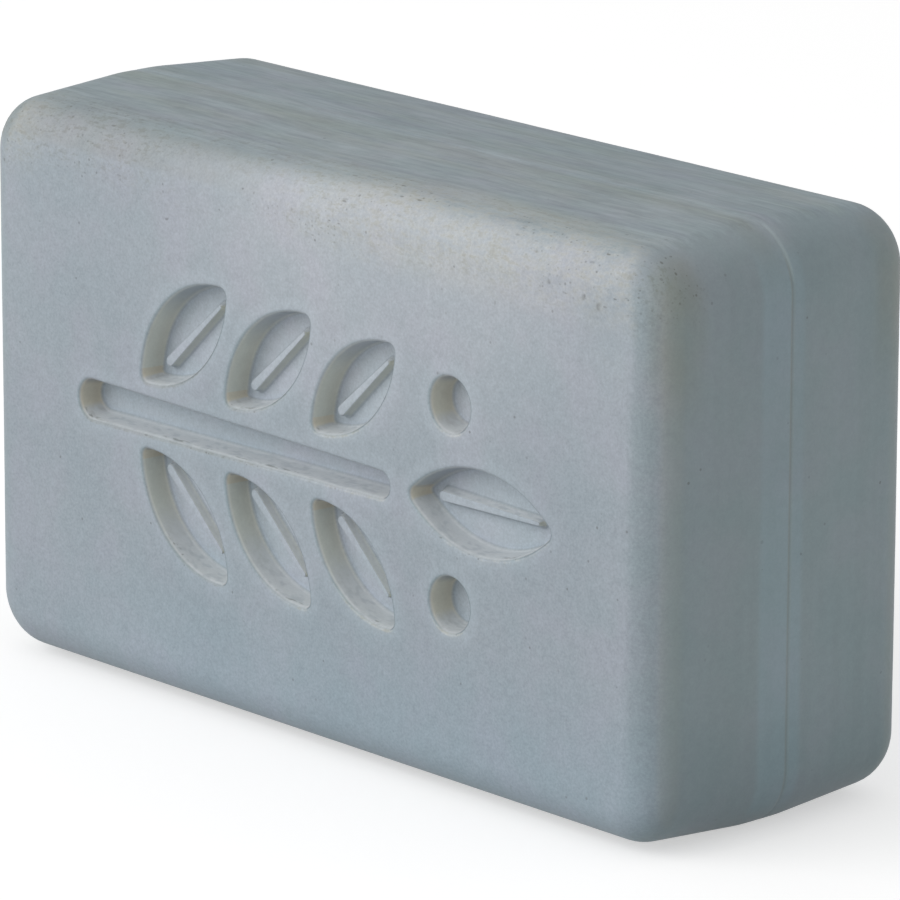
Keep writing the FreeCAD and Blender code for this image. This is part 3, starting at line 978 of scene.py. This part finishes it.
def soap_material(finish):
    """Pressed soap with its bands, streaks, dry edge and pits, painted light and shade on its faces and
    edges, and warm recess walls with painted light.
    """
    material = bpy.data.materials.new("pressed_soap")
    material.use_nodes = True
    nodes = Nodes(material.node_tree)
    surface = Surface(nodes)
    base = body_tone(nodes, surface, finish)
    base = side_tone(nodes, surface, base)
    base = drawn_streaks(nodes, surface, base)
    base = seam_tone(nodes, surface, base)
    base = end_edges(nodes, surface, base)
    base, edge, film = top_edge(nodes, surface, base, finish)
    base, wall = recess_tone(nodes, surface, base, finish)
    base, crumbs = ledge_tone(nodes, surface, base, wall, finish)
    base, grain_share = grain_and_marks(nodes, surface, base, edge, finish)
    height = nodes.total(nodes.product(surface.grain, grain_share, 0.4),
                         nodes.product(surface.grain, edge, 0.4), nodes.product(crumbs, 0.6))
    bump = nodes.add("ShaderNodeBump", {"Height": height, "Strength": 0.5, "Distance": 0.05 * MM})
    rough = nodes.remap(nodes.total(film, nodes.product(surface.grain, 0.3)), 0.0, 1.2, 0.52, 0.72)
    shader = nodes.add("ShaderNodeBsdfPrincipled", {"Base Color": base, "Roughness": rough,
                                                    "Normal": bump.outputs[0], "IOR": 1.45,
                                                    "Specular IOR Level": 0.3})
    nodes.add("ShaderNodeOutputMaterial", {"Surface": shader.outputs[0]})
    return material


class SOAP_OT_build_bar(bpy.types.Operator):
    """Build the pressed bar with its seam, sprig and worn surface"""

    bl_idname = "soap.build_bar"
    bl_label = "Bar"

    def execute(self, context):
        settings = context.scene
        bar = settings.soap_bar
        skin, mouths = build_skin(bar, settings.soap_sprig)
        mesh = make_mesh("pressed_bar", skin)
        store(mesh, "relief", skin.relief)
        store(mesh, "rim", rim_distance(skin, mouths))
        store(mesh, "bend", skin.bend)
        press_marks(mesh, bar)
        mesh.materials.append(soap_material(settings.soap_finish))
        piece = bpy.data.objects.new("pressed_bar", mesh)
        context.collection.objects.link(piece)
        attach(piece, "root")
        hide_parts("soap_bar")
        return {"FINISHED"}


# Stage

def add_camera(context, stage):
    """Camera at the photograph's angle."""
    low, high = (Vector(corner) for corner in CAD_BOX)
    turn, height, roll = -stage.camera_turn, stage.camera_height, stage.camera_roll
    level = Vector((math.cos(turn), -math.sin(turn), 0.0))
    flat = Vector((math.sin(turn), math.cos(turn), 0.0))
    ahead = math.cos(height) * flat - Vector((0.0, 0.0, math.sin(height)))
    down = ahead.cross(level)
    right = math.cos(roll) * level + math.sin(roll) * down
    down = math.cos(roll) * down - math.sin(roll) * level
    data = bpy.data.cameras.new("camera")
    data.lens = stage.lens
    data.sensor_width = SENSOR_WIDTH
    data.clip_start = 0.01
    metres_a_pixel = stage.camera_distance * data.sensor_width / (data.lens * FRAME_PIXELS)
    camera = bpy.data.objects.new("camera", data)
    centre = (low + high) / 2
    place = centre - ahead * stage.camera_distance
    place -= (right * stage.pixels_right + down * stage.pixels_down) * metres_a_pixel
    rotation = Matrix((right, -down, -ahead)).transposed().to_4x4()
    camera.matrix_world = Matrix.Translation(place) @ rotation
    context.collection.objects.link(camera)
    context.scene.camera = camera


def add_key_light(context, stage):
    """Square soft light that looks at the bar from the front, high on its left."""
    data = bpy.data.lights.new("key", "AREA")
    data.size = stage.key_size
    data.energy = stage.key_power
    light = bpy.data.objects.new("key", data)
    direction = Vector(stage.key_direction).normalized()
    low, high = (Vector(corner) for corner in CAD_BOX)
    light.location = (low + high) / 2 + direction * stage.key_distance
    light.rotation_euler = direction.to_track_quat("Z", "Y").to_euler()
    context.collection.objects.link(light)


def add_floor(context, stage):
    """Wide pale floor that keeps the bar's shadow and shows white to the camera."""
    mesh = bpy.data.meshes.new("studio_floor")
    half = stage.floor_half
    corners = [(-half, -half, 0), (half, -half, 0), (half, half, 0), (-half, half, 0)]
    mesh.from_pydata(corners, [], [(0, 1, 2, 3)])
    floor = bpy.data.objects.new("studio_floor", mesh)
    context.collection.objects.link(floor)
    mesh.materials.append(floor_material(stage))


def floor_material(stage):
    """Matt pale floor that glows for the camera, so that it looks white away from the shadow."""
    material = bpy.data.materials.new("studio_floor")
    material.use_nodes = True
    nodes = Nodes(material.node_tree)
    path = nodes.add("ShaderNodeLightPath")
    seen = nodes.math("MAXIMUM", path.outputs["Is Camera Ray"], path.outputs["Is Glossy Ray"])
    seen = nodes.math("MAXIMUM", seen, path.outputs["Is Transmission Ray"])
    shader = nodes.add("ShaderNodeBsdfPrincipled", {"Base Color": (stage.floor_grey,) * 3,
                                                    "Roughness": 0.9, "Specular IOR Level": 0.0})
    glow = nodes.add("ShaderNodeEmission", {"Color": (1.0, 1.0, 1.0),
                                            "Strength": nodes.product(seen, stage.floor_glow)})
    both = nodes.add("ShaderNodeAddShader", {0: shader.outputs[0], 1: glow.outputs[0]})
    nodes.add("ShaderNodeOutputMaterial", {"Surface": both.outputs[0]})
    return material


def add_world(context, stage):
    """Even room light, white to the camera."""
    world = bpy.data.worlds.new("studio")
    world.use_nodes = True
    nodes = Nodes(world.node_tree)
    path = nodes.add("ShaderNodeLightPath")
    seen = nodes.math("MAXIMUM", path.outputs["Is Camera Ray"], path.outputs["Is Transmission Ray"])
    strength = nodes.remap(seen, 0.0, 1.0, stage.world_strength, 1.0)
    background = nodes.add("ShaderNodeBackground", {"Color": (1.0, 1.0, 1.0),
                                                    "Strength": strength})
    nodes.add("ShaderNodeOutputWorld", {"Surface": background.outputs[0]})
    context.scene.world = world


class SOAP_OT_build_stage(bpy.types.Operator):
    """Build the floor, the lights and the camera"""

    bl_idname = "soap.build_stage"
    bl_label = "Stage"

    def execute(self, context):
        stage = context.scene.soap_stage
        add_floor(context, stage)
        add_world(context, stage)
        add_key_light(context, stage)
        add_camera(context, stage)
        context.scene.view_settings.view_transform = "Standard"
        return {"FINISHED"}


class SOAP_PT_sidebar(bpy.types.Panel):
    """Lists the build steps and their settings"""

    bl_label = "Pressed soap"
    bl_idname = "SOAP_PT_sidebar"
    bl_space_type = "VIEW_3D"
    bl_region_type = "UI"
    bl_category = "Soap"

    def draw(self, context):
        layout = self.layout
        for operator in OPERATORS:
            layout.operator(operator.bl_idname)
        for name in SETTINGS:
            group = getattr(context.scene, name)
            box = layout.box()
            for key in group.bl_rna.properties.keys():
                if key not in ("rna_type", "name"):
                    box.prop(group, key)


SETTINGS = {
    "soap_bar": SoapBarSettings,
    "soap_sprig": SoapSprigSettings,
    "soap_finish": SoapFinishSettings,
    "soap_stage": SoapStageSettings,
}
OPERATORS = (SOAP_OT_build_bar, SOAP_OT_build_stage)


def register():
    for group in (*SETTINGS.values(), *OPERATORS, SOAP_PT_sidebar):
        bpy.utils.register_class(group)
    for name, group in SETTINGS.items():
        setattr(bpy.types.Scene, name, PointerProperty(type=group))


def unregister():
    for name in SETTINGS:
        delattr(bpy.types.Scene, name)
    for group in (SOAP_PT_sidebar, *OPERATORS, *SETTINGS.values()):
        bpy.utils.unregister_class(group)


def main():
    register()
    bpy.ops.soap.build_bar()
    bpy.ops.soap.build_stage()


if __name__ == "__main__":
    main()
